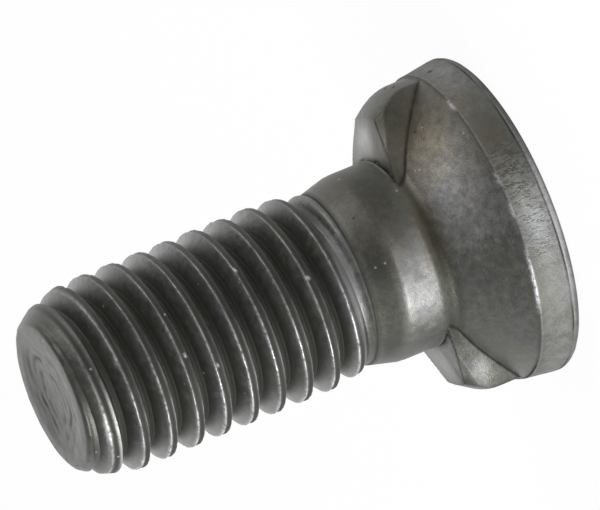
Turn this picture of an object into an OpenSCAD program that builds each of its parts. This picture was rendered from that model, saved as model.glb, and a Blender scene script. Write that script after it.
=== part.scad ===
// Plow bolt, forged and rolled from one piece of steel.
// It stands on its flat head with the thread up the Z axis, and its two nibs point along X.
// All sizes are in millimetres, and every height is measured from the flat face of the head.

/* [Head] */
// Diameter of the head at its flat face
head_d = 16.5; // [15.8:0.1:17.2]
// Height of the land, the nearly straight edge of the head
land_h = 2.15; // [1.7:0.05:2.6]
// Draft of the land: how much narrower the head is where the land ends
land_draft = 0.5; // [0.2:0.05:0.8]
// Radius of the rounded edge of the flat face
rim_r = 0.4; // [0.2:0.05:0.6]
// Full angle of the conical seat, in degrees
seat_angle = 90; // [86:1:94]
// Radius of the fillet between the seat and the neck
fillet_r = 1; // [0.5:0.1:1.4]

/* [Neck] */
// Diameter of the plain neck
neck_d = 9.8; // [9.5:0.05:9.9]
// Height where the plain neck ends
neck_end = 7.75; // [7.2:0.05:8]
// Height where the taper under the neck ends and the thread starts
thread_start = 9.3; // [9:0.05:9.6]
// Diameter of the rolling blank, which is left bare where the thread starts
blank_d = 9; // [8.92:0.02:9.1]

/* [Nibs] */
// Number of nibs that keep the bolt from turning
nib_count = 2; // [1:1:4]
// Width of a nib at its outer end
nib_w = 2.5; // [2:0.1:3]
// Angle that each flank of a nib opens towards the neck, in degrees
nib_flare = 25; // [15:1:30]
// Reach of a nib from the bolt's axis, over the seat
nib_reach = 7.9; // [7.7:0.05:8]
// Height where the outer end of a nib starts to slope inwards
nib_slope_z = 3.8; // [3.5:0.1:4.3]
// Height of a nib at its outer end
nib_tip_z = 5.15; // [5:0.05:5.4]
// Reach of a nib from the bolt's axis, at the height of its outer end
nib_tip_reach = 7.1; // [6.8:0.1:7.3]
// Height of a nib where it meets the neck
nib_root_z = 5.6; // [5.5:0.05:5.9]

/* [Thread] */
// Overall length of the bolt
bolt_len = 25; // [20:1:30]
// Outside diameter over the crests
thread_d = 9.85; // [9.75:0.01:9.95]
// Distance from one crest to the next
pitch = 1.5; // [1.25:0.25:1.5]
// Diameter at the bottom of the groove
root_d = 8.14; // [7.9:0.02:8.3]
// Width of the ridge where its rounded crest ends and its flanks begin
ridge_w = 0.31; // [0.25:0.01:0.4]
// Width of the groove at its bottom
groove_w = 0.28; // [0.15:0.01:0.4]
// How far the rounding of a crest reaches down its flanks
crest_round = 0.07; // [0.04:0.01:0.1]
// Height of one crest on the +X side, which sets where the thread begins round the bolt
crest_z = 9.36; // [8.7:0.02:10.1]
// Length over which the crests grow to their full height, fast at first and then slowly
crest_runout = 2.8; // [1.5:0.1:3.5]
// Length over which the groove grows to its full depth
root_runout = 0.9; // [0.5:0.1:1.5]
// Depth of the groove right at its start
start_step = 0.04; // [0.02:0.01:0.08]

/* [Point] */
// Diameter of the flat ring at the end of the bolt
point_d = 7.7; // [7.3:0.1:7.9]
// Length of the rounded nose at the end
nose_len = 0.8; // [0.5:0.1:1.2]
// Diameter where the nose meets the lead-in cone
nose_d = 8.78; // [8.5:0.02:9]
// Length from the end over which the crests are turned down
lead_len = 2.45; // [1.8:0.05:3]
// Diameter of the shallow dish in the end face
dish_d = 6.2; // [5:0.1:6.8]
// Depth of that dish
dish_depth = 0.22; // [0.1:0.02:0.4]

/* [Hidden] */
$fn = 96;
// Flats in one turn of the thread
turn_steps = 48;
// Points on a rounded edge or fillet
arc_steps = 6;
// Length by which the thread's core is let into the neck
core_overlap = 0.3;
// Smallest distance from a row of the thread to its end rings
ring_gap = 0.02;
head_r = head_d / 2;
seat_r = head_r - land_draft / 2;
neck_r = neck_d / 2;
blank_r = blank_d / 2;
seat_half = seat_angle / 2;
// Height where the seat's cone would meet the neck without a fillet
seat_top = land_h + (seat_r - neck_r) / tan(seat_half);
// Length of the fillet along each of the two lines that it joins
fillet_reach = fillet_r * tan(seat_half / 2);
crest_r = thread_d / 2;
shoulder_r = crest_r - crest_round;
root_r = root_d / 2;
point_r = point_d / 2;
nose_r = nose_d / 2;
dish_r = dish_d / 2;
start_r = blank_r - start_step;
core_z = thread_start - core_overlap;
shoulder_half = ridge_w / 2;
crest_half = ridge_w / 4;
groove_half = groove_w / 2;
// One pitch of the thread: distance along the axis from the crest, and full radius there
ridge = [
    [-shoulder_half, shoulder_r],
    [-crest_half, crest_r],
    [crest_half, crest_r],
    [shoulder_half, shoulder_r],
    [pitch / 2 - groove_half, root_r],
    [pitch / 2 + groove_half, root_r]
];
ridge_points = len(ridge);
// The sweep starts and ends a turn past the thread, where its rows fold into the end rings
turns_below = ceil((crest_z - core_z) / pitch) + 1;
first_crest_z = crest_z - turns_below * pitch;
row_count = (ceil((bolt_len - first_crest_z) / pitch) + 1) * ridge_points;

function limit(x) = min(max(x, 0), 1);

// Points of an arc about a centre, from one angle to another
function arc(centre, r, from, to) = [
    for (i = [0:arc_steps])
        let (a = from + (to - from) * i / arc_steps)
        centre + r * [cos(a), sin(a)]
];

// Largest radius at a height, from the lead-in cone and the nose
function point_limit(z) =
    let (s = bolt_len - z)
    s < nose_len
        ? point_r + (nose_r - point_r) * s / nose_len
        : nose_r + (crest_r - nose_r) * (s - nose_len) / (lead_len - nose_len);

// Radius of the thread at a height, for a point that has the given radius on the full thread
function thread_r(full_r, z) =
    let (
        is_crest = full_r > start_r,
        left = 1 - limit((z - thread_start) / (is_crest ? crest_runout : root_runout)),
        grown = is_crest ? 1 - left * left : 1 - left
    )
    min(start_r + (full_r - start_r) * grown, max(point_limit(z), point_r));

// A point of the sweep: rows follow the helix, and fold into a ring at each end
function sweep_point(row, step) =
    let (
        z = first_crest_z + ridge[row % ridge_points][0]
            + pitch * (floor(row / ridge_points) + step / turn_steps),
        below = z < core_z + ring_gap,
        above = z > bolt_len - ring_gap,
        r = below ? start_r : above ? point_r : thread_r(ridge[row % ridge_points][1], z),
        a = 360 * step / turn_steps
    )
    [r * cos(a), r * sin(a), below ? core_z : above ? bolt_len : z];

// Number of a sweep point, where the end of one turn is the start of the row a pitch higher
function sweep_index(row, step) =
    step < turn_steps
        ? row * turn_steps + step
        : min(row + ridge_points, row_count - 1) * turn_steps;

// Head, seat, fillet, neck and taper, turned about the axis
module body() {
    rim_centre = [head_r - rim_r, rim_r];
    fillet_centre = [neck_r + fillet_r, seat_top + fillet_reach];
    rotate_extrude()
        polygon(concat(
            [[0, 0]],
            arc(rim_centre, rim_r, -90, 0),
            [[seat_r, land_h]],
            arc(fillet_centre, fillet_r, 180 + seat_half, 180),
            [[neck_r, neck_end], [blank_r, thread_start], [0, thread_start]]
        ));
}

// Nib: flanks that open towards the neck, cut to its own outline as seen from the side
module nib() {
    outer_half = nib_w / 2;
    inner_half = outer_half + nib_reach * tan(nib_flare);
    // Slope of the end face, carried on to the axis
    face_rise = (nib_root_z - nib_tip_z) / (nib_tip_reach - neck_r);
    intersection() {
        linear_extrude(nib_root_z + land_h)
            polygon([
                [0, -inner_half],
                [nib_reach, -outer_half],
                [nib_reach, outer_half],
                [0, inner_half]
            ]);
        rotate_extrude()
            polygon([
                [0, rim_r],
                [nib_reach, rim_r],
                [nib_reach, nib_slope_z],
                [nib_tip_reach, nib_tip_z],
                [0, nib_tip_z + face_rise * nib_tip_reach]
            ]);
    }
}

// Thread with its core, as one closed sweep along the helix
module thread() {
    rows = [for (row = [0:row_count - 1], step = [0:turn_steps - 1]) sweep_point(row, step)];
    dish_ring = [
        for (step = [0:turn_steps - 1])
            let (a = 360 * step / turn_steps)
            [dish_r * cos(a), dish_r * sin(a), bolt_len]
    ];
    points = concat(rows, dish_ring, [[0, 0, bolt_len - dish_depth], [0, 0, core_z]]);
    last_row = (row_count - 1) * turn_steps;
    ring = row_count * turn_steps;
    dish_centre = ring + turn_steps;
    core_centre = dish_centre + 1;
    wall = [
        for (row = [0:row_count - 2], step = [0:turn_steps - 1])
            let (
                a = sweep_index(row, step),
                b = sweep_index(row, step + 1),
                c = sweep_index(row + 1, step + 1),
                d = sweep_index(row + 1, step)
            )
            each [[a, c, b], [a, d, c]]
    ];
    // A face that folds into an end ring has two equal corners and is left out
    open_wall = [
        for (f = wall)
            if (points[f[0]] != points[f[1]] && points[f[1]] != points[f[2]] && points[f[2]] != points[f[0]]) f
    ];
    caps = [
        for (step = [0:turn_steps - 1])
            let (next = (step + 1) % turn_steps)
            each [
                [core_centre, step, next],
                [last_row + step, ring + next, last_row + next],
                [last_row + step, ring + step, ring + next],
                [ring + step, dish_centre, ring + next]
            ]
    ];
    polyhedron(points, concat(open_wall, caps));
}

module plow_bolt() {
    color([0.34, 0.34, 0.33]) {
        body();
        for (i = [0:nib_count - 1])
            rotate(i * 360 / nib_count)
                nib();
        thread();
    }
}

plow_bolt();
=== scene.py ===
import math
import random

import bpy
import numpy as np
from mathutils import Matrix, Vector, noise


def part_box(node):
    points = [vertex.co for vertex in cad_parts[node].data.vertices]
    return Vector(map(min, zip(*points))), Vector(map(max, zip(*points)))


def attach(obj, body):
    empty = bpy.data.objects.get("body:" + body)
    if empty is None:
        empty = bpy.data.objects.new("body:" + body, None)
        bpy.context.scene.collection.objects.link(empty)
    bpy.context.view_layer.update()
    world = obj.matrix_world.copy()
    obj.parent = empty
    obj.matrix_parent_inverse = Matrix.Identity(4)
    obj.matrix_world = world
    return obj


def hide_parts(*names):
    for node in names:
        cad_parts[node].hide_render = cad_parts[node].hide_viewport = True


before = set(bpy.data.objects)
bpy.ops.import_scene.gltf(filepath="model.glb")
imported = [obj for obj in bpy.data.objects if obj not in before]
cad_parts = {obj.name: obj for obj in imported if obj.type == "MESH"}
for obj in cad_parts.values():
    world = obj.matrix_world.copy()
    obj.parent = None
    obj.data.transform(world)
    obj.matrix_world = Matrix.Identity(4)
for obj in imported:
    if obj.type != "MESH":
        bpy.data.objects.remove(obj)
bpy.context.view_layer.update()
cadLow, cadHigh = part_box("plow_bolt")
mm = 0.001
frameLength = cadHigh.z / mm

# Sizes are in millimetres, and heights start at the flat face of the head.
head = {
    "radius": cadHigh.x / mm,      # over the rounded edge
    "rimRound": 0.4,
    "trimLine": 0.45,              # height of the line where the forging flash was cut off
    "trimDepth": 0.035,
    "landTop": 2.15,               # where the land ends and the seat starts
    "landTopRadius": 8.0,
    "seatEdgeRound": 0.06,
    "seatHalf": 45,                # degrees between the seat and the axis
    "lipHeight": 0.035,            # of the rough lip along the top of the land
    "filletRadius": 1.0,
    "neckRadius": 4.9,
    "neckEnd": 7.75,
    "taperEnd": 9.3,
    "blankRadius": 4.5,
    "columns": 360,                # faces once round the head
    "crowding": 0.45,              # how much closer the columns stand at the nibs
}
nib = {
    # In a pair, the first is for the nib towards +X and the second for the one towards -X.
    "reach": (7.9, 7.87),
    "slopeHeight": (3.75, 4.0),
    "tipReach": (7.0, 7.15),
    "tipHeight": (5.1, 5.12),
    "rootHeight": (5.58, 5.56),
    "outerRound": (0.5, 0.3),
    "endRound": 0.12,              # between the outer end and the end face
    "outerWidth": 2.5,
    "flare": 25,                   # degrees that each flank opens towards the neck
    "widestSpan": 60,              # degrees from the nib's middle beyond which it has no skin
    "edgeRound": 0.06,
    "valleyRound": 0.06,
    # Three points of the plane that cuts the corners of the end face
    "cornerCut": ((4.75, 2.85, 5.45), (7.95, 1.27, 4.15), (7.1, 1.12, 5.2)),
    "cutRound": 0.006,
    "grooveDepth": 0.07,           # of the crease where the nib's end meets the neck
    "grooveSpan": 36,              # degrees each side of the nib's middle
}
thread = {
    "pitch": 1.5,
    "crestRadius": 4.925,
    "rootRadius": 3.95,
    "rootHalf": 0.15,              # half width of the groove at its bottom
    "crestHeight": 9.36,           # of one crest on the +X side
    "crestRunout": 2.8,
    "rootRunout": 0.9,
    "startStep": 0.025,
    "lapDepth": 0.05,              # crease that rolling leaves along the crest
    "columns": 172,
}
point = {
    "radius": 3.85,
    "noseLength": 0.8,
    "noseRadius": 4.39,
    "leadLength": 2.45,
    "rounding": 0.07,              # of the end face's edge
    "flatRings": (3.6, 3.3),       # radii on the flat between that edge and the dish
    "dishRadius": 3.1,
    "dishDepth": 0.2,
    "dishRings": 30,
    "cutZone": 0.4,                # height from the end that the marks of shearing reach
    "shearMarks": ((1.85, 0.035), (1.2, 0.025), (2.4, 0.015)),  # radius and depth of the oval marks
}


def clamp(x):
    return max(0.0, min(1.0, x))


def bell(x, width):
    return math.exp(-((x / width) ** 2))


def smoothMin(a, b, k):
    h = max(k - abs(a - b), 0) / k
    return min(a, b) - h * h * k / 4


def smoothMax(a, b, k):
    return -smoothMin(-a, -b, k)


def arcPoints(centre, radius, fromAngle, toAngle, count):
    angles = [math.radians(fromAngle + (toAngle - fromAngle) * i / count) for i in range(count + 1)]
    return [(centre[0] + radius * math.cos(a), centre[1] + radius * math.sin(a)) for a in angles]


def linePoints(start, end, spacing):
    length = math.dist(start, end)
    count = max(1, round(length / spacing))
    return [
        (start[0] + (end[0] - start[0]) * i / count, start[1] + (end[1] - start[1]) * i / count)
        for i in range(1, count + 1)
    ]


def startOutline(name, points):
    # One vertex, then extruded from point to point, as an outline is drawn by hand.
    bpy.ops.object.select_all(action="DESELECT")
    first = points[0]
    bpy.ops.mesh.primitive_plane_add(size=mm, location=(first[0] * mm, 0, first[1] * mm))
    piece = bpy.context.object
    piece.name = name
    bpy.ops.object.transform_apply(location=True, rotation=True, scale=True)
    bpy.ops.object.mode_set(mode="EDIT")
    bpy.ops.mesh.select_all(action="SELECT")
    bpy.ops.mesh.merge(type="CENTER")
    for a, b in zip(points, points[1:]):
        step = ((b[0] - a[0]) * mm, 0, (b[1] - a[1]) * mm)
        bpy.ops.mesh.extrude_region_move(TRANSFORM_OT_translate={"value": step})
    bpy.ops.object.mode_set(mode="OBJECT")
    return piece


def turnOutline(piece, columns, turns=1, rise=0.0):
    screw = piece.modifiers.new("turn", "SCREW")
    screw.axis = "Z"
    screw.angle = 2 * math.pi
    screw.screw_offset = rise * mm
    screw.steps = columns
    screw.render_steps = columns
    screw.iterations = turns
    screw.use_merge_vertices = True
    screw.merge_threshold = 1e-7
    screw.use_smooth_shade = True
    bpy.context.view_layer.objects.active = piece
    bpy.ops.object.modifier_apply(modifier=screw.name)


def mergeDoubles(piece, distance):
    bpy.context.view_layer.objects.active = piece
    bpy.ops.object.mode_set(mode="EDIT")
    bpy.ops.mesh.select_all(action="SELECT")
    bpy.ops.mesh.remove_doubles(threshold=distance)
    bpy.ops.mesh.dissolve_degenerate(threshold=distance)
    bpy.ops.object.mode_set(mode="OBJECT")


def carryOn(points, stretches):
    # Carries an outline on, straight to each target, with points at about the given spacing.
    for target, spacing in stretches:
        points += linePoints(points[-1], target, spacing)


def headOutline():
    h = head
    radius, neck = h["radius"], h["neckRadius"]
    rimCentre = (radius - h["rimRound"], h["rimRound"])
    landEdge = (h["landTopRadius"] + 0.02, h["landTop"] - h["seatEdgeRound"])
    seatEdge = (h["landTopRadius"] - h["seatEdgeRound"], h["landTop"] + h["seatEdgeRound"])
    # The seat slopes at 45 degrees, so it rises as much as it narrows.
    seatTop = h["landTop"] + h["landTopRadius"] - neck
    reach = h["filletRadius"] * math.tan(math.radians(h["seatHalf"] / 2))
    filletCentre = (neck + h["filletRadius"], seatTop + reach)
    fillet = arcPoints(filletCentre, h["filletRadius"], 180 + h["seatHalf"], 180, 20)
    points = [(0, 0)]
    carryOn(points, [((rimCentre[0], 0), 0.8)])
    points += arcPoints(rimCentre, h["rimRound"], -90, -4, 9)[1:]
    carryOn(points, [
        ((radius - 0.02, h["trimLine"] + 0.12), 0.04),
        ((landEdge[0] + 0.02, landEdge[1] - 0.16), 0.16),
        (landEdge, 0.05),
        (seatEdge, 0.05),
        ((seatEdge[0] - 0.15, seatEdge[1] + 0.15), 0.06),
        (fillet[0], 0.12),
    ])
    points += fillet[1:]
    carryOn(points, [
        ((neck, fillet[-1][1] + 0.28), 0.035),
        ((neck, h["neckEnd"] - 0.3), 0.3),
        ((neck - 0.03, h["neckEnd"] + 0.1), 0.13),
        ((h["blankRadius"], h["taperEnd"] - 0.03), 0.25),
    ])
    return points


def crowdColumns(piece):
    # Moves the columns round the axis, so that they stand closer together at the nibs.
    for vertex in piece.data.vertices:
        x, y = vertex.co.x, vertex.co.y
        radius, angle = math.hypot(x, y), math.atan2(y, x)
        angle -= head["crowding"] / 2 * math.sin(2 * angle)
        vertex.co.x = radius * math.cos(angle)
        vertex.co.y = radius * math.sin(angle)


def planeThrough(a, b, c):
    normal = (Vector(b) - Vector(a)).cross(Vector(c) - Vector(a)).normalized()
    if normal.x < 0:
        normal = -normal
    return normal, normal.dot(Vector(a))


def nibRadius(angle, height, side):
    # Distance from the axis to the nib's skin, at an angle from the nib's middle.
    n = nib
    reach, tipReach = n["reach"][side], n["tipReach"][side]
    slopeHeight, tipHeight = n["slopeHeight"][side], n["tipHeight"][side]
    rootHeight = n["rootHeight"][side]
    if height > rootHeight + 0.3 or abs(angle) > math.radians(n["widestSpan"]):
        return 0.0
    slope = (reach - tipReach) / (tipHeight - slopeHeight)
    outer = smoothMin(reach, reach - (height - slopeHeight) * slope, n["outerRound"][side])
    faceSlope = (tipReach - head["neckRadius"]) / (rootHeight - tipHeight)
    endFace = (tipReach - (height - tipHeight) * faceSlope) / math.cos(angle) ** 0.4
    outer = smoothMin(outer, endFace, n["endRound"])
    flare = math.tan(math.radians(n["flare"]))
    atAxis = n["outerWidth"] / 2 + reach * flare
    flank = atAxis / (math.sin(abs(angle)) + math.cos(angle) * flare)
    normal, offset = planeThrough(*n["cornerCut"])
    along = normal.x * math.cos(angle) + normal.y * math.sin(abs(angle))
    cut = (offset - normal.z * height) / along if along > 0.05 else 99.0
    flank = smoothMin(flank, cut, n["cutRound"])
    return smoothMin(outer, flank, n["edgeRound"])


def nibCrease(angle, height, side):
    # Crease and lip along the foot of the nib's end, taken from the neck's radius.
    span = clamp((nib["grooveSpan"] - abs(math.degrees(angle))) / 10)
    past = height - nib["rootHeight"][side]
    return span * (nib["grooveDepth"] * bell(past - 0.06, 0.045) - 0.02 * bell(past - 0.17, 0.06))


def raiseNibs(piece):
    valley = piece.data.attributes.new("valley", "FLOAT", "POINT")
    for vertex in piece.data.vertices:
        x, y, z = vertex.co / mm
        radius = math.hypot(x, y)
        if radius < head["blankRadius"] or z < head["landTop"] * 0.6 or z > nib["rootHeight"][0] + 0.6:
            continue
        side = 0 if x > 0 else 1
        angle = math.atan2(y, abs(x))
        grown = radius
        skin = nibRadius(angle, z, side)
        if skin > radius - nib["valleyRound"]:
            grown = smoothMax(radius, skin, nib["valleyRound"])
        # Painted shadow along the foot of the flanks, and none at the nib's outer end.
        if skin > 0 and abs(angle) > 0.15:
            valley.data[vertex.index].value = bell(radius - skin, 0.06)
        grown -= nibCrease(angle, z, side)
        vertex.co.x *= grown / radius
        vertex.co.y *= grown / radius


def ridgeOutline():
    t = thread
    pitch, crest, root = t["pitch"], t["crestRadius"], t["rootRadius"]
    rise = [
        (0.0, crest - t["lapDepth"]),
        (0.05, crest - 0.9 * t["lapDepth"]),
        (0.1, crest - 0.3 * t["lapDepth"]),
        (0.14, crest),
        (0.17, crest - 0.01),
        (0.2, crest - 0.045),
    ]
    low = (pitch / 2 - t["rootHalf"], root + 0.025)
    rise += linePoints(rise[-1], low, 0.15)
    rise += [(pitch / 2 - t["rootHalf"] * 0.5, root + 0.005)]
    down = [(r, -z) for z, r in reversed(rise)]
    up = [(r, z) for z, r in rise]
    return [(root, -pitch / 2)] + down[:-1] + up + [(root, pitch / 2)]


def pointLimit(height):
    p = point
    s = frameLength - height
    if s < p["noseLength"]:
        return p["radius"] + (p["noseRadius"] - p["radius"]) * s / p["noseLength"]
    full = thread["crestRadius"]
    share = (s - p["noseLength"]) / (p["leadLength"] - p["noseLength"])
    return p["noseRadius"] + (full - p["noseRadius"]) * share


def shapeThread(piece):
    # The ridge grows out of the blank, is turned down at the point, and its ends fold into rings.
    t = thread
    start = head["taperEnd"]
    low = head["blankRadius"] - t["startStep"]
    for vertex in piece.data.vertices:
        x, y, z = vertex.co / mm
        radius = math.hypot(x, y)
        isCrest = radius > low
        left = 1 - clamp((z - start) / (t["crestRunout"] if isCrest else t["rootRunout"]))
        grown = low + (radius - low) * (1 - left * left if isCrest else 1 - left)
        grown = smoothMin(grown, max(pointLimit(z), point["radius"]), 0.05)
        if z < start + 0.01:
            grown, z = low, start
        if z > frameLength - point["rounding"] - 0.01:
            grown, z = point["radius"], frameLength - point["rounding"]
        vertex.co = (x * grown / radius * mm, y * grown / radius * mm, z * mm)


def openEdges(mesh):
    count = {}
    for polygon in mesh.polygons:
        for key in polygon.edge_keys:
            count[key] = count.get(key, 0) + 1
    return {e.index for e in mesh.edges if count.get(tuple(sorted(e.vertices)), 0) == 1}


def selectLoops(piece, test):
    mesh = piece.data
    for group in (mesh.vertices, mesh.edges, mesh.polygons):
        group.foreach_set("select", [False] * len(group))
    openOnes = openEdges(mesh)
    for edge in mesh.edges:
        if edge.index in openOnes and all(test(mesh.vertices[v].co / mm) for v in edge.vertices):
            edge.select = True
            for v in edge.vertices:
                mesh.vertices[v].select = True
    bpy.ops.object.mode_set(mode="EDIT")
    bpy.ops.mesh.select_mode(type="EDGE")


def closePoint(piece):
    # Rings drawn inwards over the rounded edge and the shallow dish.
    p = point
    selectLoops(piece, lambda co: co.z > frameLength - p["rounding"] - 0.02)
    rings = [(p["radius"] - 0.05, p["rounding"] * 0.45), (p["radius"] - 0.13, p["rounding"] * 0.12)]
    rings += [(r, 0) for r in p["flatRings"]]
    for i in range(p["dishRings"]):
        r = p["dishRadius"] * (1 - i / p["dishRings"])
        rings.append((r, p["dishDepth"] * math.cos(math.pi / 2 * r / p["dishRadius"])))
    radius, depth = p["radius"], p["rounding"]
    for ringRadius, ringDepth in rings:
        step = (0, 0, (depth - ringDepth) * mm)
        bpy.ops.mesh.extrude_region_move(TRANSFORM_OT_translate={"value": step})
        share = ringRadius / radius
        bpy.ops.transform.resize(value=(share, share, 1), center_override=(0, 0, 0))
        radius, depth = ringRadius, ringDepth
    bpy.ops.mesh.extrude_region_move()
    bpy.ops.mesh.merge(type="CENTER")
    bpy.ops.object.mode_set(mode="OBJECT")


def roundNoise(angle, waves, level):
    # Noise that runs round the axis and closes on itself.
    return noise.noise((waves * math.cos(angle), waves * math.sin(angle), level))


def placeNoise(x, y, z, density):
    return noise.noise((x * density, y * density, z * density))


def shearMark(x, y):
    # Uneven oval steps that shearing the bar has left in the end face, as a depth.
    angle = math.atan2(y, x)
    wander = roundNoise(angle, 1.3, 5.0)
    radius = math.hypot(x, y) * (1 + 0.35 * wander)
    depth = 0.0
    for i, (markRadius, deep) in enumerate(point["shearMarks"]):
        share = clamp(0.4 + 1.6 * roundNoise(angle, 2, 11.0 + i))
        depth += share * deep * bell(radius - markRadius, 0.13)
    return depth


def joinPieces(first, second):
    bpy.ops.object.select_all(action="DESELECT")
    first.select_set(True)
    second.select_set(True)
    bpy.context.view_layer.objects.active = first
    bpy.ops.object.join()


def buildBolt():
    bolt = startOutline("bolt", headOutline())
    turnOutline(bolt, head["columns"])
    mergeDoubles(bolt, 1e-6)
    crowdColumns(bolt)
    raiseNibs(bolt)
    print("head turned, nibs raised:", len(bolt.data.polygons), "faces")

    t = thread
    turnsBelow = math.ceil((t["crestHeight"] - head["taperEnd"]) / t["pitch"]) + 1
    lowest = t["crestHeight"] - turnsBelow * t["pitch"]
    turns = math.ceil((frameLength - lowest) / t["pitch"]) + 1
    outline = [(r, z + lowest) for r, z in ridgeOutline()]
    ridge = startOutline("ridge", outline)
    turnOutline(ridge, t["columns"], turns, t["pitch"])
    shapeThread(ridge)
    mergeDoubles(ridge, 2e-6)
    closePoint(ridge)
    print("thread rolled:", len(ridge.data.polygons), "faces")

    joinPieces(bolt, ridge)
    start = head["taperEnd"]
    selectLoops(bolt, lambda co: start - 0.1 < co.z < start + 0.1)
    bpy.ops.mesh.bridge_edge_loops()
    bpy.ops.mesh.select_all(action="SELECT")
    bpy.ops.mesh.normals_make_consistent(inside=False)
    bpy.ops.object.mode_set(mode="OBJECT")
    print("bolt closed:", len(openEdges(bolt.data)), "open edges,", len(bolt.data.polygons), "faces")
    return bolt


# Wear and forging marks, pressed into the mesh

wear = {
    # Dents: angle in degrees round the axis from +X, height, width and depth
    "dents": [
        (-78, 22.8, 0.28, 0.10), (-120, 23.99, 0.16, 0.05), (-89, 19.33, 0.18, 0.06),
        (-73, 12.1, 0.16, 0.05), (-62, 3.4, 0.12, 0.05), (-130, 1.0, 0.3, 0.04), (60, 20.6, 0.3, 0.09),
        (150, 12.2, 0.22, 0.06), (95, 3.9, 0.25, 0.05), (35, 1.2, 0.3, 0.04),
    ],
    # Bare chips on the crests: angle, height, radius
    "chips": [
        (-77, 22.8, 0.17), (-120, 24.0, 0.15), (-88, 19.33, 0.12), (-73, 12.1, 0.13), (-64, 20.1, 0.08),
        (-101, 17.95, 0.08), (-52, 15.2, 0.09), (-95, 13.4, 0.07), (60, 20.6, 0.12), (110, 16.3, 0.1),
    ],
    # Small dark pits: angle, height, radius
    "pits": [
        (-25, 2.96, 0.09), (-72, 4.4, 0.07), (-8, 1.5, 0.12), (-3, 3.3, 0.08), (2, 3.5, 0.09),
        (-62, 3.0, 0.1), (-77, 3.3, 0.08), (-176, 4.9, 0.07), (80, 3.1, 0.1), (130, 1.4, 0.12),
    ],
    "crestNicks": 130,             # how many small nicks the crests have
    "nickAside": 0.18,             # how far a nick stands from the middle of its crest
    "nickDepth": (0.01, 0.045),
    "nickWidth": (0.08, 0.22),
    "crestRagged": 0.02,
    "forgingWave": 0.014,          # how wavy the forged skin is
    "flatZone": 0.06,              # height up to which the flat face stays flat
    "pitDepth": 0.4,               # share of a pit's radius
    "seed": 5,
}


def readVectors(group, name):
    values = np.empty(len(group) * 3)
    group.foreach_get(name, values)
    return values.reshape(-1, 3)


def landMarks(x, y, z):
    # Trim line under the land and the rough lip along its top, as a depth.
    h = head
    angle = math.atan2(y, x)
    trim = clamp(0.65 + 0.9 * roundNoise(angle, 3, 4.0))
    line = h["trimLine"] + 0.03 * roundNoise(angle, 9, 1.0)
    depth = trim * h["trimDepth"] * bell(z - line, 0.045)
    rough = roundNoise(angle, 6, 9.0) + 0.6 * roundNoise(angle, 25, 2.0)
    depth -= clamp(rough + 0.15) * h["lipHeight"] * bell(z - h["landTop"] + 0.02, 0.07)
    depth += clamp(-rough - 0.2) * h["lipHeight"] * bell(z - h["landTop"], 0.09)
    return depth


def skinDepth(x, y, z):
    # Uneven skin at one place, as a depth: ragged crests, the sheared end and the forged head.
    w = wear
    radius = math.hypot(x, y)
    depth = 0.0
    if z > head["taperEnd"]:
        if radius > thread["crestRadius"] - 0.1:
            depth += w["crestRagged"] * (placeNoise(x, y, z, 4) + 0.7 * placeNoise(x, y, z, 11))
        if z > frameLength - point["cutZone"]:
            depth += 0.01 + 0.012 * noise.noise((x * 1.5, y * 1.5, 7.0)) + shearMark(x, y)
    elif z > w["flatZone"]:
        forged = clamp((7.0 - z) / 2) * clamp((radius - head["neckRadius"] + 0.05) / 0.6)
        depth += w["forgingWave"] * forged * (placeNoise(x, y, z, 0.9) + 0.5 * placeNoise(x, y, z, 3))
        if z < head["landTop"] + 0.35 and radius > head["landTopRadius"] - 0.5:
            depth += landMarks(x, y, z)
    return depth


def listNicks():
    # Angle, height, width and depth of the dents, of nicks along the crests and of the pits.
    w = wear
    random.seed(w["seed"])
    nicks = list(w["dents"])
    for _ in range(w["crestNicks"]):
        angle = random.uniform(-180, 180)
        turn = random.randint(1, 9)
        height = thread["crestHeight"] + thread["pitch"] * (turn + angle / 360)
        height += random.uniform(-w["nickAside"], w["nickAside"])
        nicks.append((angle, height, random.uniform(*w["nickWidth"]), random.uniform(*w["nickDepth"])))
    return nicks + [(angle, height, size, size * w["pitDepth"]) for angle, height, size in w["pits"]]


def wearSurface(piece):
    mesh = piece.data
    places = readVectors(mesh.vertices, "co") / mm
    normals = readVectors(mesh.vertex_normals, "vector")
    radius = np.hypot(places[:, 0], places[:, 1])
    depth = np.zeros(len(places))
    for angle, height, width, deep in listNicks():
        a = math.radians(angle)
        near = np.abs(places[:, 2] - height) < width * 2.5
        reach = radius[near].max()
        centre = np.array([reach * math.cos(a), reach * math.sin(a), height])
        away = np.linalg.norm(places[near] - centre, axis=1)
        depth[near] += deep * np.exp(-((away / width) ** 2))
    depth += [skinDepth(x, y, z) for x, y, z in places]
    moved = places - normals * depth[:, None]

    # The skin stays inside the bolt's own length and width.
    moved[:, 2] = np.clip(moved[:, 2], 0, frameLength)
    limit = min(cadHigh.x, -cadLow.x) / mm
    outer = np.hypot(moved[:, 0], moved[:, 1])
    tooFar = outer > limit
    moved[tooFar, :2] *= (limit / outer[tooFar])[:, None]
    mesh.vertices.foreach_set("co", (moved * mm).ravel())
    mesh.update()


# Rubbed, dirty and paler places in the finish, with painted highlights and painted shade, painted into the
# mesh

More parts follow.
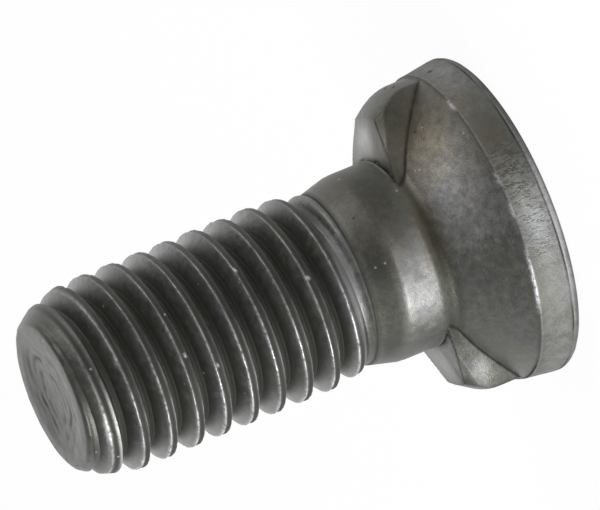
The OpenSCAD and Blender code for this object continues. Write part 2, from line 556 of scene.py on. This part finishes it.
wearAndPaintedLight = {
    "litSide": -132,                # side of the bolt where the painted highlights on the thread are strongest, in degrees from +X
    "clean": (14, 42),             # side where the crests are clean, and its reach in degrees
    "crest": 0.75,                 # dirt along the middle of the crest
    "pale": 0.3,                   # tone of the flank towards the point, just under the crest
    "start": 0.8,                  # dark line where the thread starts
    "valley": 0.6,                 # painted shadow at the foot of a nib's flanks
    "fillet": 0.35,                # painted shade under the neck
    "nibEdgeShade": (0.2, 0.9),         # painted shade along the edges of the nib towards +X, and of the other
    "trim": 0.45,                  # dirt in the trim line
    "seatEdge": 0.45,              # painted shade along the top of the land
    "chipShade": 0.8,              # dark edge under each chip
    "rim": 0.3,                    # what is left of the rubs on the rim of the flat face
    "end": 0.1,                    # and on the end of the bolt
    "shear": 14,                   # dirt in the marks of the end face, for each mm of their depth
    # Distance from the middle of a crest towards the point: middle and width
    "crestEdgeRubAndHighlight": (0.155, 0.05),      # rub and painted highlight on the edge of the crest
    "crestDirt": (-0.04, 0.13),
    "paleFlank": (0.25, 0.2),
    # The same, from where to where it begins and from where to where it ends
    "headSideRubAndHighlight": (-0.5, -0.34, -0.24, -0.14),  # rub and painted highlight on the flank towards the head
    # Heights between which the painted highlight of the neck and the painted shade of the taper begin and
    # end
    "neckHighlightSpan": (5.7, 6.0, 7.65, 7.78),
    "taperSpan": (7.75, 7.9, 9.0, 9.25),
    "filletShadeSpan": (5.42, 0.2),     # height and width of the painted shade under the neck
    # Painted shade on the taper, rubs of the lip, dirt of the cracks, painted highlight on the neck:
    # angle, reach, amount
    "taper": [(-114, 26, 0.4)],
    "lip": [
        (-108, 11, 0.7), (-81, 2.5, 0.7), (-69, 2, 0.6), (-34, 3, 0.25), (40, 12, 0.7), (140, 20, 0.6),
    ],
    "crack": [(-161, 11, 0.7), (100, 14, 0.6)],
    "neck": [(-98, 30, 0.6), (70, 30, 0.4)],
}
# Broad lighter and darker places in the finish, some of them painted highlights and painted shade as
# marked: angle from +X, height, reach in degrees and in mm, tone
tonePatches = [
    (-62, 3.9, 25, 1.5, 0.62),     # paler scale on the seat
    (-88, 3.9, 12, 1.3, 0.1),
    (-30, 3.4, 16, 1.2, 0.15),
    (-100, 3.0, 16, 1.0, -0.05),
    (-75, 5.3, 38, 0.28, -0.4),    # painted shade on the fillet under the neck
    (-125, 5.3, 30, 0.28, -0.5),
    (-40, 7.0, 40, 1.3, -0.25),
    # painted shade on the taper
    (-112, 8.65, 30, 0.5, -0.8),
    (-84, 10.05, 36, 0.45, 1.3),   # painted highlight on the first turn of the thread
    # painted light on the upper side of the thread
    (16, 17, 34, 9, 0.5),
    (-52, 1.2, 14, 0.9, -0.1),
    (-15, 1.2, 18, 0.9, 0.2),
    (-86, 1.1, 16, 1.0, 0.5),
    (-116, 1.1, 20, 1.0, 0.1),
    (-150, 1.1, 20, 1.0, 0.2),
    (-90, 0.3, 36, 0.2, 0.5),      # rim beyond the trim line
    (3, 5.35, 20, 0.25, 0.6),      # painted light on the end faces of the nibs
    (180, 5.35, 22, 0.25, 0.4),
    # painted shade on the corner cut of the nib towards +X
    (-14, 4.2, 10, 1.0, -0.2),
    (-11, 4.9, 5, 0.5, -0.3),
    (-165, 4.3, 7, 0.6, 0.45),     # painted highlight on the flank of the nib towards -X
    # painted shade on its corner cut
    (-170.5, 4.95, 3.5, 0.5, -0.6),
    (75, 4.0, 30, 1.6, 0.25),
    (118, 6.6, 28, 1.0, 0.3),
    (60, 1.2, 40, 0.9, 0.25),
]
# Where the land is wrinkled
wrinklePatches = [
    (-72, 1.3, 14, 0.9, 1.0),
    (-92, 1.2, 10, 0.8, 0.5),
    (20, 1.3, 30, 0.9, 0.7),
    (120, 1.3, 30, 0.9, 0.8),
]
# Where the finish has a brown cast
brownPatches = [
    (-30, 3.8, 24, 1.6, 1.0),
    (-72, 5.5, 25, 0.5, 1.0),
    (-50, 1.4, 20, 0.8, 0.5),
    (-40, 8.0, 50, 1.2, 0.4),
    (130, 3.8, 30, 1.4, 0.8),
]
# The layers that the steel's material reads
finishLayers = ("edgeWearAndHighlight", "crease", "flankRubAndHighlight", "land", "rolled", "cutEnd", "wrinkled", "tone", "brown")


def spread(values, middle, width):
    return np.exp(-(((values - middle) / width) ** 2))


def fade(values, low, high):
    share = np.clip((values - low) / (high - low), 0, 1)
    return share * share * (3 - 2 * share)


def turnFrom(angle, at):
    # Degrees from one angle to another, the short way round.
    return (angle - at + 180) % 360 - 180


def nearAngle(angle, at, reach, power=2):
    return np.exp(-(np.abs(turnFrom(angle, at) / reach) ** power))


def between(values, low, lowEnd, high, highEnd):
    # Rises from 0 to 1 between the first two values, and falls again between the last two.
    return fade(values, low, lowEnd) * (1 - fade(values, high, highEnd))


def patchField(patches, angle, height):
    field = np.zeros(len(angle))
    for patchAngle, patchHeight, reach, rise, amount in patches:
        turn = turnFrom(angle, patchAngle)
        field += amount * np.exp(-((turn / reach) ** 2) - ((height - patchHeight) / rise) ** 2)
    return field


def roundPlaces(places):
    # Radius, angle in degrees from +X, and height of each place.
    radius = np.hypot(places[:, 0], places[:, 1])
    return radius, np.degrees(np.arctan2(places[:, 1], places[:, 0])), places[:, 2]


def spotMask(places, at, level, size):
    # 1 within a small round spot on the surface, at an angle and a height.
    radius, angle, height = roundPlaces(places)
    near = (np.abs(height - level) < size * 3) & (np.abs(turnFrom(angle, at)) < 4)
    reach = radius[near].max()
    a = math.radians(at)
    spot = np.array([reach * math.cos(a), reach * math.sin(a), level])
    return np.exp(-(np.linalg.norm(places - spot, axis=1) / size) ** 4)


def unevenRub(places):
    # How hard each spot has been rubbed, and so how strong the painted highlight on the thread is there,
    # from 0.35 to 1.
    waves = [placeNoise(x, y, z, 0.9) for x, y, z in places]
    return np.clip(0.72 + 0.9 * np.array(waves), 0.35, 1)


def averageOver(values, ends, counts):
    total = np.bincount(ends[:, 0], values[ends[:, 1]], len(values))
    total += np.bincount(ends[:, 1], values[ends[:, 0]], len(values))
    return (values + total) / (1 + counts)


def findBends(mesh, places):
    # Edges and creases in the mesh, from 0 to 1, by how the normals turn along its edges.
    normals = readVectors(mesh.vertex_normals, "vector")
    ends = np.empty(len(mesh.edges) * 2, dtype=int)
    mesh.edges.foreach_get("vertices", ends)
    ends = ends.reshape(-1, 2)
    step = places[ends[:, 1]] - places[ends[:, 0]]
    step /= np.maximum(np.linalg.norm(step, axis=1), 1e-6)[:, None]
    counts = np.bincount(ends.ravel(), minlength=len(places))
    bend = np.bincount(ends[:, 0], -(normals[ends[:, 0]] * step).sum(1), len(places))
    bend += np.bincount(ends[:, 1], (normals[ends[:, 1]] * step).sum(1), len(places))
    bend /= np.maximum(counts, 1)
    edge = averageOver(np.clip((bend - 0.04) * 5, 0, 1), ends, counts)
    crease = averageOver(np.clip((-bend - 0.03) * 8, 0, 1), ends, counts)
    return edge, crease


def paintThread(paint, places):
    radius, angle, height = roundPlaces(places)
    start = head["taperEnd"]
    onThread = paint["rolled"] * np.clip((frameLength - 0.5 - height) / 0.3, 0, 1)
    worn = fade(height, start + 0.2, start + 1.4)
    worn *= 1 - 0.5 * fade(height, frameLength - 2.2, frameLength - 1.4)
    # Distance from the middle of the nearest crest, towards the point
    turn = (height - thread["crestHeight"]) / thread["pitch"] - angle / 360
    across = (turn - np.round(turn)) * thread["pitch"]
    litShare = 0.5 + 0.5 * np.cos(np.radians(angle - wearAndPaintedLight["litSide"]))
    uneven = unevenRub(places)
    # Rubs on the crest's edge, with a painted highlight that is strongest on the side where the light
    # falls.
    crestEdgeRubAndHighlight = spread(across, *wearAndPaintedLight["crestEdgeRubAndHighlight"]) * (0.04 + 0.96 * litShare ** 2.5) * uneven
    headSideRubAndHighlight = between(across, *wearAndPaintedLight["headSideRubAndHighlight"]) * uneven
    # Painted shade in the roots of the thread.
    rootShade = fade(across, 0.35, 0.72) + 1 - fade(across, -0.72, -0.6)
    facing = 1 - 0.85 * nearAngle(angle, *wearAndPaintedLight["clean"])
    paint["edgeWearAndHighlight"] += onThread * worn * crestEdgeRubAndHighlight
    # Painted highlight: the flank towards the head is lighter on the side where the light falls.
    paint["flankRubAndHighlight"] += onThread * worn * headSideRubAndHighlight * (0.03 + 0.97 * litShare ** 6)
    paint["crease"] += onThread * worn * np.clip(rootShade, 0, 1)
    paint["crease"] += onThread * spread(across, *wearAndPaintedLight["crestDirt"]) * facing * wearAndPaintedLight["crest"]
    atStart = spread(height, start + 0.02, 0.06) * (radius < head["blankRadius"] + 0.1)
    paint["crease"] += atStart * wearAndPaintedLight["start"]
    paint["tone"] += wearAndPaintedLight["pale"] * onThread * spread(across, *wearAndPaintedLight["paleFlank"])


def paintNeckHighlightAndShade(paint, places):
    radius, angle, height = roundPlaces(places)
    neck = head["neckRadius"]
    neckHighlightZone = between(height, *wearAndPaintedLight["neckHighlightSpan"]) * (radius < neck + 0.15)
    # Painted highlight: the neck is made lighter in broad bands round it.
    for at, reach, amount in wearAndPaintedLight["neck"]:
        paint["tone"] += amount * neckHighlightZone * nearAngle(angle, at, reach, 2.6)
    taperShadeZone = between(height, *wearAndPaintedLight["taperSpan"])
    for at, reach, amount in wearAndPaintedLight["taper"]:
        # Painted shade on one side of the taper, over its highlight.
        paint["crease"] += amount * taperShadeZone * nearAngle(angle, at, reach)
    # The painted shade under the neck leaves out the end faces of the nibs.
    fillet = spread(height, *wearAndPaintedLight["filletShadeSpan"]) * (radius > neck - 0.02) * (radius < neck + 0.6)
    fillet *= fade(np.abs(np.sin(np.radians(angle))), 0.5, 0.7)
    paint["crease"] += fillet * wearAndPaintedLight["fillet"] * np.clip(1.3 - paint["valley"], 0, 1)


def paintHead(paint, places):
    radius, angle, height = roundPlaces(places)
    onLand = radius > head["landTopRadius"] - 0.3
    seatEdge = spread(height, head["landTop"], 0.075) * onLand
    paint["edgeWearAndHighlight"] *= 1 - seatEdge
    # Painted shade along the top of the land, over the highlight of its edge.
    paint["crease"] += wearAndPaintedLight["seatEdge"] * seatEdge
    for at, reach, amount in wearAndPaintedLight["lip"]:
        near = seatEdge * nearAngle(angle, at, reach, 4)
        paint["edgeWearAndHighlight"] += amount * near
        paint["crease"] *= 1 - near
    crack = spread(height, head["landTop"], 0.05) * onLand
    for at, reach, amount in wearAndPaintedLight["crack"]:
        paint["crease"] += amount * crack * nearAngle(angle, at, reach, 4)
    paint["edgeWearAndHighlight"] *= np.where(height < 0.7, wearAndPaintedLight["rim"], 1.0)
    paint["edgeWearAndHighlight"] *= np.where(height > frameLength - 0.5, wearAndPaintedLight["end"], 1.0)
    nibs = (height > head["landTop"] + 0.2) & (height < 6.2) & (radius > head["neckRadius"] + 0.05)
    # Painted shade along the nibs' edges, over the highlight that they catch.
    paint["crease"] += paint["edgeWearAndHighlight"] * nibs * np.where(places[:, 0] > 0, *wearAndPaintedLight["nibEdgeShade"])
    paint["edgeWearAndHighlight"] *= ~nibs
    unevenTrim = 0.5 + 0.5 * np.sin(np.radians(angle * 7)) * np.sin(np.radians(angle * 3 + 40))
    trim = spread(height, head["trimLine"], 0.05) * (radius > head["landTopRadius"])
    paint["crease"] += unevenTrim * trim * wearAndPaintedLight["trim"]


def paintSpots(paint, places):
    atEnd = np.flatnonzero(places[:, 2] > frameLength - point["cutZone"])
    marks = np.array([shearMark(*places[i][:2]) for i in atEnd])
    paint["crease"][atEnd] += np.clip(marks * wearAndPaintedLight["shear"], 0, 1)
    for at, level, size in wear["pits"]:
        paint["crease"] += spotMask(places, at, level, size)
    for at, level, size in wear["chips"]:
        chip = spotMask(places, at, level, size)
        shade = spotMask(places, at, level - size * 1.1, size * 0.6)
        paint["edgeWearAndHighlight"] += chip
        paint["crease"] = paint["crease"] * (1 - chip) + wearAndPaintedLight["chipShade"] * shade


def paintWearAndLight(piece):
    mesh = piece.data
    places = readVectors(mesh.vertices, "co") / mm
    radius, angle, height = roundPlaces(places)
    start = head["taperEnd"]
    land = np.clip((head["landTop"] + 0.02 - height) / 0.06, 0, 1)
    land *= np.clip((radius - head["landTopRadius"] + 0.25) / 0.1, 0, 1)
    rolled = np.clip((height - start + 0.05) / 0.1, 0, 1)
    forged = (1 - rolled) * (1 - spread(height, start, 0.35))
    edge, crease = findBends(mesh, places)
    valley = np.empty(len(places))
    mesh.attributes["valley"].data.foreach_get("value", valley)
    paint = {
        "valley": valley,
        "edgeWearAndHighlight": edge * forged,
        "crease": crease * forged + valley * wearAndPaintedLight["valley"],
        "flankRubAndHighlight": np.zeros(len(places)),
        "land": land,
        "rolled": rolled,
        "cutEnd": fade(height, frameLength - 1.0, frameLength - 0.5),
        "wrinkled": patchField(wrinklePatches, angle, height),
        "tone": patchField(tonePatches, angle, height),
        "brown": patchField(brownPatches, angle, height),
    }
    paintThread(paint, places)
    paintNeckHighlightAndShade(paint, places)
    paintHead(paint, places)
    paintSpots(paint, places)
    for name in ("edgeWearAndHighlight", "crease", "flankRubAndHighlight"):
        paint[name] = np.clip(paint[name], 0, 1)
    for name in finishLayers:
        layer = mesh.attributes.new(name, "FLOAT", "POINT")
        layer.data.foreach_set("value", paint[name].astype(np.float32))


# Materials

steel = {
    "dark": (0.05, 0.0505, 0.044, 1),  # the finish, from dark phosphate to pale scale
    "middle": (0.105, 0.105, 0.097, 1),
    "light": (0.22, 0.22, 0.215, 1),
    "pale": (0.42, 0.42, 0.43, 1),
    "rubbedAndHighlight": (0.45, 0.45, 0.46, 1),   # bare edges and specks, and painted highlights along the crests
    "flank": (0.5, 0.5, 0.5, 1),   # bare flanks of the thread, and the painted highlight on them
    # dark colour for dirt and for the painted shade
    "dirtAndShade": (0.012, 0.012, 0.008, 1),
    "warm": (1.0, 0.985, 0.945, 1),
    "cool": (0.965, 0.985, 1.0, 1),
    "brown": (1.0, 0.88, 0.72, 1),
    "mottling": (0.34, 0.24),      # on the thread and on the forged skin
    "relief": (1.4, 1.0),          # of the bumps, on the thread and on the forged skin
    "bumpDepth": 0.00003,          # m
    "metallic": 0.85,
    "roughness": (0.4, 0.55),      # from dark to pale mottling
    "threadShade": 0.45,           # how much darker the rolled thread is
    "threadMetallic": 0.6,
}
# Settings of the patterns in the finish, where a larger scale or size is finer
grain = {
    "mottle": {"Size": 2.6, "Contrast": 1.1},
    "blotches": {"Size": 0.4, "Contrast": 1.0},
    "marks": {"Across": 4200.0, "Along": 1000.0},  # wrinkles of the land
    "darkPits": {"Scale": 2600.0, "Share": 0.03, "Radius": 0.26},
    "brightSpecks": {"Scale": 1700.0, "Share": 0.1, "Radius": 0.17},
    "bare": {"Scale": 5200.0, "Amount": 1.25, "Gaps": 0.3},    # along edges, and the painted highlight along the crests
    "side": {"Scale": 3000.0, "Amount": 1.3, "Gaps": 0.22},    # on the thread's flanks, rubs and painted highlight
}


def addNode(tree, kind, inputs=None, **settings):
    made = tree.nodes.new("ShaderNode" + kind)
    for name, value in settings.items():
        setattr(made, name, value)
    for name, value in (inputs or {}).items():
        if isinstance(value, bpy.types.NodeSocket):
            tree.links.new(value, made.inputs[name])
        else:
            made.inputs[name].default_value = value
    return made


def calc(tree, operation, a, b=0.0, clamped=False):
    return addNode(tree, "Math", {0: a, 1: b}, operation=operation, use_clamp=clamped).outputs[0]


def times(tree, a, b, clamped=False):
    return calc(tree, "MULTIPLY", a, b, clamped)


def addShare(tree, total, part, amount, clamped=False):
    return calc(tree, "ADD", total, times(tree, part, amount), clamped)


def remap(tree, value, low, high, toLow=0.0, toHigh=1.0, smooth=False):
    made = addNode(tree, "MapRange", {0: value, 1: low, 2: high, 3: toLow, 4: toHigh})
    if smooth:
        made.interpolation_type = "SMOOTHSTEP"
    return made.outputs[0]


def mixColor(tree, share, a, b, blend="MIX"):
    return addNode(tree, "Mix", {0: share, 6: a, 7: b}, data_type="RGBA", blend_type=blend).outputs[2]


def startGroup(name, inputs, outputs):
    # Every input but the vector is a number, and so is every output.
    group = bpy.data.node_groups.new(name, "ShaderNodeTree")
    for socketName in inputs:
        kind = "NodeSocketVector" if socketName == "Vector" else "NodeSocketFloat"
        group.interface.new_socket(socketName, in_out="INPUT", socket_type=kind)
    for socketName in outputs:
        group.interface.new_socket(socketName, in_out="OUTPUT", socket_type="NodeSocketFloat")
    return group, group.nodes.new("NodeGroupInput").outputs, group.nodes.new("NodeGroupOutput").inputs


def addNoise(group, at, scale, detail, roughness=0.5, distortion=0.0):
    shape = {"Detail": detail, "Roughness": roughness, "Distortion": distortion}
    return addNode(group, "TexNoise", {"Vector": at, "Scale": scale, **shape}).outputs["Fac"]


def scaleGroup():
    # Forging scale: broad blotches with a fine grain, as a mask and a height.
    group, take, give = startGroup("forgingScale", ["Vector", "Size", "Contrast"], ["Mask", "Height"])
    at = addNode(group, "VectorMath", {0: take["Vector"], 3: take["Size"]}, operation="SCALE").outputs[0]
    broad = addNoise(group, at, 900, 4, 0.62)
    fine = addNoise(group, at, 5200, 3, 0.6)
    both = addShare(group, times(group, broad, 0.6), fine, 0.4)
    contrasted = times(group, calc(group, "SUBTRACT", both, 0.5), take["Contrast"])
    group.links.new(calc(group, "ADD", times(group, contrasted, 3.0), 0.5, True), give["Mask"])
    group.links.new(both, give["Height"])
    return group


def speckGroup():
    # Small separate pits or specks: 1 at the middle of each.
    group, take, give = startGroup("specks", ["Vector", "Scale", "Share", "Radius"], ["Mask"])
    cells = addNode(group, "TexVoronoi", {"Vector": take["Vector"], "Scale": take["Scale"]}).outputs
    chosen = addNode(group, "SeparateColor", {0: cells["Color"]}).outputs[0]
    kept = calc(group, "LESS_THAN", chosen, take["Share"])
    inside = remap(group, cells["Distance"], 0.0, take["Radius"], 1.0, 0.0, True)
    group.links.new(times(group, kept, inside), give["Mask"])
    return group


def streakGroup():
    # Thin wrinkles that run along the bolt's axis: 0 in a wrinkle.
    group, take, give = startGroup("drawMarks", ["Vector", "Across", "Along"], ["Mask"])
    stretch = {0: take["Across"], 1: take["Across"], 2: take["Along"]}
    stretch = addNode(group, "CombineXYZ", stretch).outputs[0]
    at = addNode(group, "VectorMath", {0: take["Vector"], 1: stretch}, operation="MULTIPLY").outputs[0]
    marks = addNoise(group, at, 1.0, 3, 0.6, 0.25)
    off = calc(group, "ABSOLUTE", calc(group, "SUBTRACT", marks, 0.5))
    group.links.new(remap(group, off, 0.0, 0.06, 0.0, 1.0, True), give["Mask"])
    return group


def rubGroup():
    # Bare metal along edges, and painted highlights on the thread, broken up by a noise.
    group, take, give = startGroup("edgeRub", ["Vector", "Edge", "Scale", "Amount", "Gaps"], ["Mask"])
    patches = addNoise(group, take["Vector"], take["Scale"], 3)
    broken = remap(group, patches, take["Gaps"], calc(group, "ADD", take["Gaps"], 0.24))
    group.links.new(times(group, times(group, take["Edge"], broken), take["Amount"], True), give["Mask"])
    return group


def steelMaterial():
    material = bpy.data.materials.new("phosphatedSteel")
    material.use_nodes = True
    tree = material.node_tree
    shader = tree.nodes["Principled BSDF"]
    place = addNode(tree, "TexCoord").outputs["Object"]
    layer = {name: addNode(tree, "Attribute", attribute_name=name).outputs["Fac"] for name in finishLayers}

    def use(group, name, **inputs):
        inputs = {"Vector": place, **grain[name], **inputs}
        return addNode(tree, "Group", inputs, node_tree=group).outputs

    scale, specks, rubbing = scaleGroup(), speckGroup(), rubGroup()
    mottle = use(scale, "mottle")
    blotches = use(scale, "blotches")["Mask"]
    marks = use(streakGroup(), "marks")["Mask"]
    darkPits = use(specks, "darkPits")["Mask"]
    brightSpecks = use(specks, "brightSpecks")["Mask"]
    bare = use(rubbing, "bare", Edge=layer["edgeWearAndHighlight"])["Mask"]
    side = use(rubbing, "side", Edge=layer["flankRubAndHighlight"])["Mask"]

    forged = calc(tree, "SUBTRACT", 1.0, layer["rolled"])
    wrinkled = times(tree, layer["land"], layer["wrinkled"], True)
    # Brightness of the finish, from 0 for dark phosphate to 1 for pale scale, with the painted highlights
    # and painted shade of the tone layer
    value = times(tree, mottle["Mask"], remap(tree, forged, 0, 1, *steel["mottling"]))
    value = addShare(tree, value, forged, 0.06)
    value = addShare(tree, value, blotches, 0.12)
    value = calc(tree, "ADD", value, layer["tone"])
    value = addShare(tree, value, layer["land"], 0.08)
    folds = times(tree, wrinkled, calc(tree, "SUBTRACT", marks, 0.8))
    value = addShare(tree, value, folds, 0.45, True)
    ramp = addNode(tree, "ValToRGB", {0: value})
    ramp.color_ramp.elements[0].color = steel["dark"]
    ramp.color_ramp.elements[1].color = steel["pale"]
    ramp.color_ramp.elements.new(0.38).color = steel["middle"]
    ramp.color_ramp.elements.new(0.7).color = steel["light"]

    tint = addNoise(tree, place, 800, 3)
    cast = mixColor(tree, remap(tree, tint, 0.35, 0.65), steel["warm"], steel["cool"])
    color = mixColor(tree, 1.0, ramp.outputs["Color"], cast, "MULTIPLY")
    color = mixColor(tree, layer["brown"], color, mixColor(tree, 1.0, color, steel["brown"], "MULTIPLY"))
    shade = times(tree, layer["rolled"], remap(tree, layer["cutEnd"], 0, 1, 1.0, 0.9))
    # Each covers the finish with a colour, and the later ones lie on top.
    for share, cover in (
        (times(tree, shade, steel["threadShade"]), "dirtAndShade"),
        (side, "flank"),
        (times(tree, layer["crease"], 0.92), "dirtAndShade"),
        (times(tree, darkPits, forged), "dirtAndShade"),
        (bare, "rubbedAndHighlight"),
        (times(tree, brightSpecks, 0.6), "rubbedAndHighlight"),
    ):
        color = mixColor(tree, share, color, steel[cover])
    tree.links.new(color, shader.inputs["Base Color"])
    metallic = remap(tree, layer["rolled"], 0, 1, steel["metallic"], steel["threadMetallic"])
    tree.links.new(addShare(tree, metallic, side, -0.5), shader.inputs["Metallic"])

    rough = remap(tree, mottle["Mask"], 0, 1, *steel["roughness"])
    rough = addShare(tree, rough, bare, -0.1)
    rough = addShare(tree, rough, layer["rolled"], -0.05)
    rough = addShare(tree, rough, layer["land"], 0.12)
    rough = addShare(tree, rough, layer["crease"], 0.4, True)
    tree.links.new(rough, shader.inputs["Roughness"])

    height = times(tree, mottle["Height"], remap(tree, forged, 0, 1, *steel["relief"]))
    height = addShare(tree, height, times(tree, marks, wrinkled), 0.5)
    height = addShare(tree, height, times(tree, darkPits, forged), -0.5)
    bump = addNode(tree, "Bump", {"Height": height, "Distance": steel["bumpDepth"], "Strength": 1.0})
    tree.links.new(bump.outputs["Normal"], shader.inputs["Normal"])
    return material


# Stage

view = {
    "azimuth": 9.5,                # degrees, round from the front towards +X
    "elevation": 17.7,
    "aimHeight": 10.47,            # on the bolt's axis, in mm
    "aimAside": 1.795,             # from the axis towards the upper nib, in mm
    "width": 29.43,                # seen across the image, in mm
    "distance": 800.0,             # of the camera from that point, in mm
    "axisAcross": -0.9259,         # direction of the bolt's axis in the image
    "axisUp": -0.3778,
    "sensor": 36,                  # mm
}


def viewFrame():
    a, e = math.radians(view["azimuth"]), math.radians(view["elevation"])
    aside = Vector((math.cos(a), math.sin(a), 0))
    front = Vector((math.sin(a), -math.cos(a), 0))
    toCamera = front * math.cos(e) + Vector((0, 0, 1)) * math.sin(e)
    along = (Vector((0, 0, 1)) - toCamera * math.sin(e)) / math.cos(e)
    right = along * view["axisAcross"] + aside * view["axisUp"]
    up = along * view["axisUp"] - aside * view["axisAcross"]
    return aside, toCamera, right, up


def addCamera():
    aside, toCamera, right, up = viewFrame()
    aim = Vector((0, 0, view["aimHeight"] * mm)) + aside * view["aimAside"] * mm
    data = bpy.data.cameras.new("camera")
    data.sensor_fit = "HORIZONTAL"
    data.sensor_width = view["sensor"]
    data.lens = view["sensor"] * view["distance"] / view["width"]
    data.clip_start = 0.01
    data.clip_end = 20
    camera = bpy.data.objects.new("camera", data)
    bpy.context.scene.collection.objects.link(camera)
    place = aim + toCamera * view["distance"] * mm
    turn = Matrix((right, up, toCamera)).transposed()
    camera.matrix_world = Matrix.Translation(place) @ turn.to_4x4()
    bpy.context.scene.camera = camera


lamps = {
    # Azimuth from the camera's, elevation, distance in mm, width and height in mm, power in W
    "keyLamp": (-62, 8, 170, 70, 36, 0.35),
    "sideLamp": (75, 25, 220, 120, 120, 0.25),
}
lampAim = 11                       # height on the bolt's axis that the lamps point at, in mm
surroundings = {
    "horizon": (1.0, 1.0, 1.0),
    "zenith": (0.36, 0.36, 0.37),
    "fadeFrom": 16,                # degrees above the horizon
    "fadeTo": 48,
    "brightSide": -155,            # degrees round from the camera's side
    "dim": 0.5,                    # share of light from the opposite side
    "bright": 1.8,
    "floorBrightSide": -115,
    "floorDim": 0.42,              # share that reflections show of the floor on its dim side
    "floorSize": 4,                # m
    "floorTone": 0.9,
    "floorGlow": 0.95,             # share of its own light, which keeps it an even white
}


def addLamps():
    aim = Vector((0, 0, lampAim * mm))
    for name, (azimuth, elevation, distance, width, height, power) in lamps.items():
        a = math.radians(view["azimuth"] + azimuth)
        e = math.radians(elevation)
        direction = Vector((math.sin(a) * math.cos(e), -math.cos(a) * math.cos(e), math.sin(e)))
        data = bpy.data.lights.new(name, "AREA")
        data.shape = "ELLIPSE"
        data.size = width * mm
        data.size_y = height * mm
        data.energy = power
        lamp = bpy.data.objects.new(name, data)
        bpy.context.scene.collection.objects.link(lamp)
        lamp.location = aim + direction * distance * mm
        lamp.rotation_euler = direction.to_track_quat("Z", "Y").to_euler()


def towardsBright(tree, direction, side):
    # From -1 for a direction away from the bright side to 1 towards it, all at the same height.
    a = math.radians(view["azimuth"] + side)
    flat = addNode(tree, "VectorMath", {0: direction, 1: (1, 1, 0)}, operation="MULTIPLY").outputs[0]
    flat = addNode(tree, "VectorMath", {0: flat}, operation="NORMALIZE").outputs[0]
    bright = (math.sin(a), -math.cos(a), 0)
    return addNode(tree, "VectorMath", {0: flat, 1: bright}, operation="DOT_PRODUCT").outputs["Value"]


def addWorld():
    s = surroundings
    world = bpy.data.worlds.new("studio")
    bpy.context.scene.world = world
    world.use_nodes = True
    tree = world.node_tree
    direction = addNode(tree, "TexCoord").outputs["Generated"]
    upward = addNode(tree, "SeparateXYZ", {0: direction}).outputs["Z"]
    low, high = math.sin(math.radians(s["fadeFrom"])), math.sin(math.radians(s["fadeTo"]))
    share = remap(tree, upward, low, high, 0.0, 1.0, True)
    sky = mixColor(tree, share, (*s["horizon"], 1), (*s["zenith"], 1))
    tree.links.new(sky, tree.nodes["Background"].inputs["Color"])
    sideways = towardsBright(tree, direction, s["brightSide"])
    strength = remap(tree, sideways, -1, 1, s["dim"], s["bright"], True)
    tree.links.new(strength, tree.nodes["Background"].inputs["Strength"])


def addFloor():
    bpy.ops.object.select_all(action="DESELECT")
    bpy.ops.mesh.primitive_plane_add(size=surroundings["floorSize"])
    floor = bpy.context.object
    floor.name = "floor"
    material = bpy.data.materials.new("floor")
    material.use_nodes = True
    tree = material.node_tree
    shader = tree.nodes["Principled BSDF"]
    tone = surroundings["floorTone"]
    shader.inputs["Base Color"].default_value = (tone, tone, tone, 1)
    shader.inputs["Roughness"].default_value = 0.9
    path = addNode(tree, "LightPath").outputs
    # In reflections the floor is dimmer on the side away from the light.
    place = addNode(tree, "TexCoord").outputs["Object"]
    sideways = towardsBright(tree, place, surroundings["floorBrightSide"])
    mirrored = remap(tree, sideways, -1, 1, surroundings["floorDim"], 1.0, True)
    mirrored = times(tree, mirrored, path["Is Glossy Ray"])
    seen = calc(tree, "MAXIMUM", path["Is Camera Ray"], mirrored)
    seen = calc(tree, "MAXIMUM", seen, path["Is Transmission Ray"])
    glow = addNode(tree, "Emission", {"Strength": 1.0})
    share = times(tree, seen, surroundings["floorGlow"])
    mix = addNode(tree, "MixShader", {0: share, 1: shader.outputs[0], 2: glow.outputs[0]})
    tree.links.new(mix.outputs[0], tree.nodes["Material Output"].inputs["Surface"])
    floor.data.materials.append(material)


smoothAngle = 32                   # degrees, up to which an edge is shaded smooth
bolt = buildBolt()
wearSurface(bolt)
paintWearAndLight(bolt)
bpy.ops.object.shade_smooth_by_angle(angle=math.radians(smoothAngle))
print("worn and painted")
bolt.data.materials.clear()
bolt.data.materials.append(steelMaterial())
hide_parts("plow_bolt")
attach(bolt, "root")

addCamera()
addLamps()
addWorld()
addFloor()
bpy.context.scene.view_settings.view_transform = "Standard"
